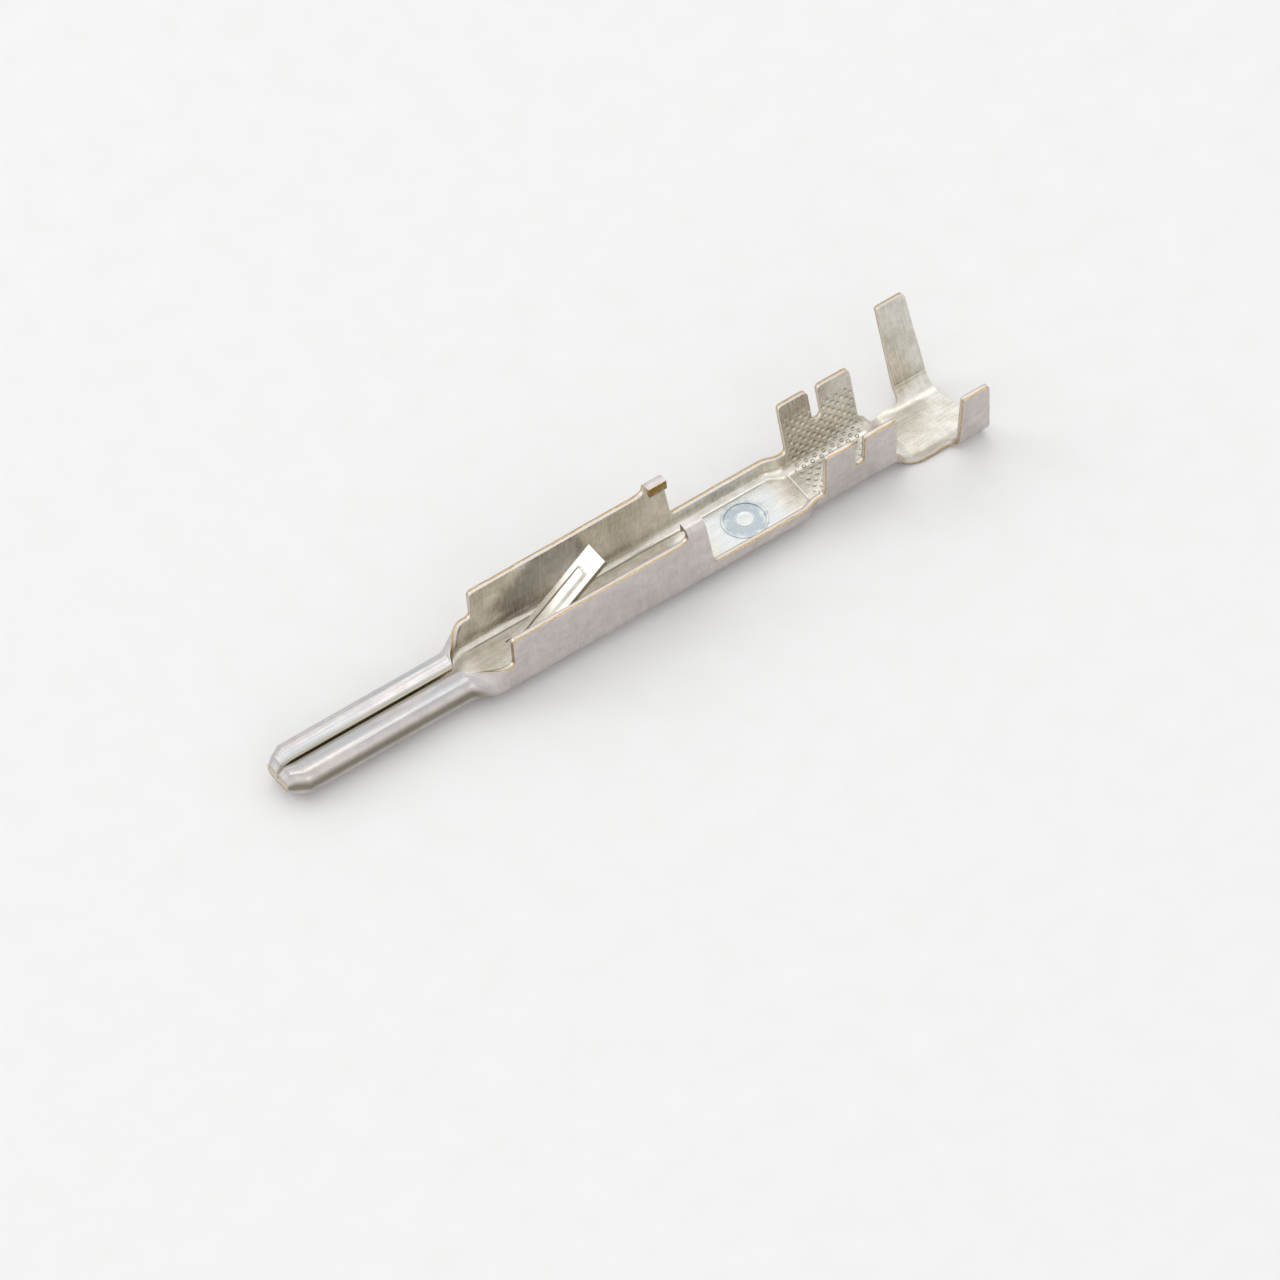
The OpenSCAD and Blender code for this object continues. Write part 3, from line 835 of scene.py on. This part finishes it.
def tin(finish: Finish, side: Sides, strip: Strip) -> bpy.types.Material:
    """Tin plate: soft clouds of colour, rolling grain, draw marks, and the tool's prints.

    Args:
        finish: Colours and roughness.
        side: Side of the strip that it is for.
        strip: The folding rules, for the places of the prints.

    Returns:
        The material.
    """
    m = Shader(finish.name)
    flat = m.add("UVMap", uv_map="sheet").outputs[0]
    clouds = m.noise(flat, (0.7, 0.9, 1), 4)
    blots = m.noise(flat, (3.2, 3.6, 1), 5, 0.65)
    # Tool drag: lines across the strip where the walls were wiped up, along it elsewhere
    along = m.noise(flat, (0.35, 26, 1), 4)
    across = m.noise(flat, (16, 1.2, 1), 4)
    axis = m.add("SeparateXYZ", {"Vector": flat})
    x, v = axis.outputs["X"], m.math("ABSOLUTE", axis.outputs["Y"])
    wall = m.ramp(v, 0.75, 1.15)
    blade = m.ramp(x, strip.box_front - 0.5, strip.neck_front + 0.1)
    wall = m.math("MULTIPLY", wall, m.math("SUBTRACT", 1.0, blade))
    drag = m.math("ADD", m.math("MULTIPLY", across, wall),
                  m.math("MULTIPLY", along, m.math("SUBTRACT", 1.0, wall)))
    specks = m.noise(flat, (30, 30, 1), 3, 0.7)
    share = 0.3 if side is Sides.IN else 0.2
    shade = m.math("ADD", m.math("MULTIPLY", clouds, 0.3), m.math("MULTIPLY", blots, 0.7 - share))
    shade = m.math("ADD", shade, m.math("MULTIPLY", drag, share))
    colour = m.blend(m.ramp(shade, 0.36, 0.66), linear(finish.dark), linear(finish.light))
    rough = m.ramp(m.math("ADD", m.math("MULTIPLY", drag, 0.6), m.math("MULTIPLY", specks, 0.4)),
                   0.3, 0.7, finish.roughness - 0.06, finish.roughness + 0.08)
    normal = m.bump(drag, finish.grain, m.bump(specks, finish.grain))
    if side is Sides.IN:
        normal = prints(m, strip, flat, x, v, normal)
        colour = bridge_tint(m, flat, x, v, blots, colour)
        # Painted shade: darker in the line where the floor turns up to the walls
        line = m.ramp(m.math("ABSOLUTE", m.math("SUBTRACT", v, 0.7)), 0.045, 0.0)
        line = m.math("MULTIPLY", line, m.ramp(x, strip.box_front - 0.4, strip.box_front))
        line = m.math("MULTIPLY", line, m.ramp(x, strip.bridge_rear, strip.bridge_rear - 0.3))
        colour = m.blend(m.math("MULTIPLY", line, 0.7), colour, linear("#6E6A5F"))
    else:
        # Painted reflections and shade on the outer side of the blade
        colour = blade_painted_reflection_and_shade(m, v, blade, along, colour)
    return m.metal(colour, rough, normal)


def bridge_tint(m: Shader, flat: object, x: object, v: object, blots: object,
                colour: object) -> bpy.types.NodeSocket:
    """Cooler and cleaner tin where the round punch pressed on the floor of the bridge.

    Args:
        m: Material that it is added to.
        flat: Flat place of the point in millimetres.
        x: Its place along the strip.
        v: Its distance from the centre line.
        blots: Noise that breaks the borders.
        colour: Colour of the tin around it.

    Returns:
        The colour with the tint.
    """
    reach = m.add("VectorMath", {0: flat}, operation="LENGTH").outputs["Value"]
    uneven = m.math("MULTIPLY", m.math("SUBTRACT", blots, 0.5), 1.0)
    wide = m.math("MULTIPLY", m.ramp(m.math("ADD", m.math("ABSOLUTE", x), uneven), 1.25, 0.85),
                  m.ramp(v, 0.85, 0.6))
    colour = m.blend(m.math("MULTIPLY", wide, 0.65), colour, linear("#D3DADC"))
    ring = m.math("MULTIPLY", m.ramp(reach, 0.2, 0.3),
                  m.ramp(m.math("ADD", reach, uneven), 0.7, 0.4))
    return m.blend(m.math("MULTIPLY", ring, 0.6), colour, linear("#8E9FAE"))


def blade_painted_reflection_and_shade(m: Shader, v: object, blade: object, streaks: object,
               colour: object) -> bpy.types.NodeSocket:
    """Painted reflections and shade on the drawn tin of the rolled blade.

    The real bands are partly reflections of the room. Here the cool streaks on the lips and the
    dull band on the sides are painted reflections, and the darker line beside the seam is painted
    shade, all laid on as colour.

    Args:
        m: Material that it is added to.
        v: Distance of the point from the centre line in millimetres.
        blade: Share by which the point is on the blade.
        streaks: Noise drawn out along the strip.
        colour: Colour of the tin elsewhere.

    Returns:
        The colour with the tint.
    """
    # Painted reflection: cool grey-blue streaks on the lips, following the draw marks
    painted_lip_reflection = m.math("MULTIPLY", m.ramp(v, 1.12, 1.3), blade)
    streak = m.ramp(streaks, 0.42, 0.6)
    colour = m.blend(m.math("MULTIPLY", painted_lip_reflection, m.math("MULTIPLY", streak, 0.75)), colour,
                     linear("#A3AEB6"))
    # Painted shade: a darker olive line beside the seam, where the lips turn down into the groove
    seam = m.math("MULTIPLY", m.ramp(v, 1.6, 1.7), blade)
    colour = m.blend(m.math("MULTIPLY", seam, 0.75), colour, linear("#8B856F"))
    # Painted reflection: a dull olive band along the sides of the blade
    painted_dark_reflection = m.math("MULTIPLY", m.ramp(m.math("ABSOLUTE", m.math("SUBTRACT", v, 0.96)), 0.2, 0.04),
                  blade)
    return m.blend(m.math("MULTIPLY", painted_dark_reflection, 0.85), colour, linear("#77725F"))


def prints(m: Shader, strip: Strip, flat: object, x: object, v: object,
           normal: object) -> bpy.types.NodeSocket:
    """Dimples of the wire barrel, the round mark of the bridge and the crease behind it.

    Args:
        m: Material that they are added to.
        strip: The folding rules, for their places.
        flat: Flat place of the point in millimetres.
        x: Its place along the strip.
        v: Its distance from the centre line.
        normal: Normal of the finer grain.

    Returns:
        The normal with the prints.
    """
    pitch = 0.27
    cells = m.add("VectorMath", {0: flat, "Scale": 1 / pitch}, operation="SCALE").outputs[0]
    near = []
    for shift in (0.0, 0.5):
        moved = m.add("VectorMath", {0: cells, 1: (shift, shift, 0)}, operation="ADD").outputs[0]
        part = m.add("VectorMath", {0: moved}, operation="FRACTION").outputs[0]
        near.append(m.add("VectorMath", {0: part, 1: (0.5, 0.5, 0)},
                          operation="DISTANCE").outputs["Value"])
    dimple = m.ramp(m.math("MINIMUM", *near), 0.1, 0.24)
    barrel = m.math("MULTIPLY", m.ramp(x, strip.wire_front + 0.02, strip.wire_front + 0.1),
                    m.ramp(x, strip.wire_rear - 0.02, strip.wire_rear - 0.1))
    barrel = m.math("MULTIPLY", barrel, m.ramp(v, 2.3, 2.2))
    pressed = m.math("ADD", 1.0, m.math("MULTIPLY", barrel, m.math("SUBTRACT", dimple, 1.0)))
    normal = m.bump(pressed, 0.03, normal)
    reach = m.add("VectorMath", {0: flat}, operation="LENGTH").outputs["Value"]
    ring = m.ramp(m.math("ABSOLUTE", m.math("SUBTRACT", reach, 0.57)), 0.02, 0.06)
    disc = m.ramp(reach, 0.2, 0.26)
    normal = m.bump(m.math("MINIMUM", ring, disc), 0.012, normal)
    crease = m.ramp(m.math("ABSOLUTE", m.math("SUBTRACT", x, strip.wire_cradle)), 0.0, 0.05)
    crease = m.math("MAXIMUM", crease, m.ramp(v, 0.5, 0.62))
    normal = m.bump(crease, 0.01, normal)
    # The tall insulation wing was pressed against the end of its bending tool
    foot = strip.s.cradle_flat / 2 + strip.cradle_bend
    kink = m.ramp(m.math("ABSOLUTE", m.math("SUBTRACT", v, foot)), 0.0, 0.06)
    kink = m.math("MAXIMUM", kink, m.ramp(x, strip.wings[0][0], strip.wings[0][0] - 0.02))
    return m.bump(kink, 0.012, normal)


def sheared(finish: Finish, strip: Strip) -> bpy.types.Material:
    """Sheared edge: tin is dragged over its burnished part, and the torn part is bare brass.

    Args:
        finish: Colours and roughness.
        strip: The folding rules, for the places of the seam and of the tip.

    Returns:
        The material.
    """
    m = Shader(finish.name)
    where = m.add("TexCoord").outputs["Object"]
    metres = m.add("VectorMath", {0: where, "Scale": 1 / MM}, operation="SCALE").outputs[0]
    depth = m.add("Attribute", attribute_name="inner").outputs["Fac"]
    wave = m.noise(metres, (2.5, 2.5, 2.5), 4)
    grit = m.noise(metres, (34, 34, 34), 3)
    brass = m.blend(m.ramp(grit, 0.35, 0.65), linear(finish.dark), linear(finish.light))
    level = m.math("ADD", depth, m.math("MULTIPLY", m.math("SUBTRACT", wave, 0.5), 0.7))
    band = m.math("MULTIPLY", m.ramp(level, 0.0, 0.1), m.ramp(level, 0.48, 0.34))
    colour = m.blend(m.math("MULTIPLY", band, 0.85), linear("#D2CBC5"), brass)
    # Painted shade: the brass of the sheared edges in the blade's seam is darkened to brown, where
    # they lie in the groove
    place = m.add("SeparateXYZ", {"Vector": metres}).outputs["X"]
    seam = m.math("MULTIPLY", m.ramp(place, strip.tip_x + 0.2, strip.tip_x + 0.4),
                  m.ramp(place, strip.neck_front + 0.5, strip.neck_front + 0.1))
    colour = m.blend(seam, colour, linear("#8F7340"))
    torn = m.add("Attribute", attribute_name="swell").outputs["Fac"]
    colour = m.blend(m.math("MULTIPLY", torn, m.ramp(grit, 0.3, 0.5)), colour, linear("#9C7B36"))
    # The edge is a little rounded at both skins
    off = m.math("ABSOLUTE", m.math("SUBTRACT", m.math("MULTIPLY", depth, 2.0), 1.0))
    round_off = m.math("SUBTRACT", 1.0, m.math("POWER", off, 6.0))
    normal = m.bump(grit, finish.grain, m.bump(round_off, 0.02))
    rough = m.ramp(grit, 0.3, 0.7, finish.roughness - 0.08, finish.roughness + 0.1)
    return m.metal(colour, rough, normal)


@dataclass(frozen=True)
class Softbox:
    """A square studio lamp.

    Attributes:
        name: Name of the lamp.
        toward: Direction from the contact to the lamp.
        far: Distance in metres.
        side: Length of its side in metres.
        power: Power in watts.
    """

    name: str
    toward: tuple[float, float, float]
    far: float
    side: float
    power: float


LAMPS = (
    Softbox("key_softbox", (-0.63, 0.56, 0.54), 0.30, 0.16, 0.10),
    Softbox("top_softbox", (0.20, 0.30, 0.93), 0.34, 0.20, 0.10),
    Softbox("side_softbox", (-0.20, -0.90, 0.45), 0.40, 0.20, 0.06),
)
RIGHT = Vector((0.8223, -0.5650, -0.0675))
UP = Vector((0.4691, 0.6060, 0.6424))
BACK = Vector((-0.3221, -0.5599, 0.7633))
FRAME_WIDTH = 32.0
FRAME_CENTRE = (-2.6175, -2.8875)
SENSOR = 36.0
CAMERA_FAR = 0.8


class Studio:
    """White table, soft lamps and the camera of the photo."""

    def build(self) -> None:
        """Sets up everything that isn't the contact."""
        self.floor()
        self.world()
        for lamp in LAMPS:
            self.lamp(lamp)
        self.camera()

    def floor(self) -> bpy.types.Object:
        """A white paper sweep under the contact."""
        bpy.ops.mesh.primitive_plane_add(size=0.6, location=(0, 0, -0.0002 - 1e-6))
        floor = bpy.context.object
        floor.name = "studio_paper"
        m = Shader("matt white studio paper")
        where = m.add("TexCoord").outputs["Object"]
        fibre = m.noise(where, (900, 900, 900), 3)
        colour = m.blend(fibre, linear("#F2F2F1"), linear("#F8F8F8"))
        surface = m.add("BsdfPrincipled", {"Base Color": colour, "Roughness": 0.9,
                                           "Specular IOR Level": 0.1})
        m.tree.links.new(surface.outputs[0], m.output.inputs["Surface"])
        floor.data.materials.append(m.material)
        return floor

    def world(self) -> None:
        """Even white surroundings: seen and mirrored at full white, lighting a little less."""
        world = bpy.data.worlds.new("white_tent")
        bpy.context.scene.world = world
        world.use_nodes = True
        tree = world.node_tree
        tree.nodes.clear()
        out = tree.nodes.new("ShaderNodeOutputWorld")
        path = tree.nodes.new("ShaderNodeLightPath")
        seen = tree.nodes.new("ShaderNodeMath")
        also = tree.nodes.new("ShaderNodeMath")
        seen.operation = also.operation = "MAXIMUM"
        tree.links.new(path.outputs["Is Camera Ray"], seen.inputs[0])
        tree.links.new(path.outputs["Is Glossy Ray"], seen.inputs[1])
        tree.links.new(seen.outputs[0], also.inputs[0])
        tree.links.new(path.outputs["Is Transmission Ray"], also.inputs[1])
        shows, lights = (tree.nodes.new("ShaderNodeBackground") for _ in range(2))
        shows.inputs["Color"].default_value = lights.inputs["Color"].default_value = (1, 1, 1, 1)
        shows.inputs["Strength"].default_value = 1.0
        lights.inputs["Strength"].default_value = 0.85
        pick = tree.nodes.new("ShaderNodeMixShader")
        tree.links.new(also.outputs[0], pick.inputs[0])
        tree.links.new(lights.outputs[0], pick.inputs[1])
        tree.links.new(shows.outputs[0], pick.inputs[2])
        tree.links.new(pick.outputs[0], out.inputs["Surface"])

    def lamp(self, lamp: Softbox) -> None:
        """Hangs a lamp and turns it to the contact."""
        bpy.ops.object.light_add(type="AREA", location=Vector(lamp.toward) * lamp.far)
        obj = bpy.context.object
        obj.name = lamp.name
        obj.data.size = lamp.side
        obj.data.energy = lamp.power
        obj.rotation_euler = Vector(lamp.toward).to_track_quat("Z", "Y").to_euler()

    def camera(self) -> None:
        """Puts the camera where the photo was taken from, far enough away to see no depth."""
        centre = (RIGHT * FRAME_CENTRE[0] + UP * FRAME_CENTRE[1]) * MM
        turned = Matrix((RIGHT, UP, BACK)).transposed().to_4x4()
        bpy.ops.object.camera_add(location=centre + BACK * CAMERA_FAR)
        camera = bpy.context.object
        camera.name = "photo_camera"
        camera.matrix_world = Matrix.Translation(centre + BACK * CAMERA_FAR) @ turned
        camera.data.sensor_width = SENSOR
        camera.data.lens = SENSOR * CAMERA_FAR / (FRAME_WIDTH * MM)
        camera.data.clip_start, camera.data.clip_end = 0.01, 5
        bpy.context.scene.camera = camera
        bpy.context.scene.view_settings.view_transform = "Standard"


def main() -> None:
    """Builds the visual model of the contact and its studio."""
    logging.basicConfig(level=logging.INFO, format="%(name)s %(message)s")
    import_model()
    strip = Strip(Sizes())
    contact = FoldedBlank(strip).build()
    for place, material in enumerate((tin(OUTER, Sides.OUT, strip), tin(INNER, Sides.IN, strip),
                                      sheared(EDGE, strip))):
        contact.material_slots[place].material = material
    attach(contact, "root")
    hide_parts(NODE)
    Studio().build()


if __name__ == "__main__":
    main()
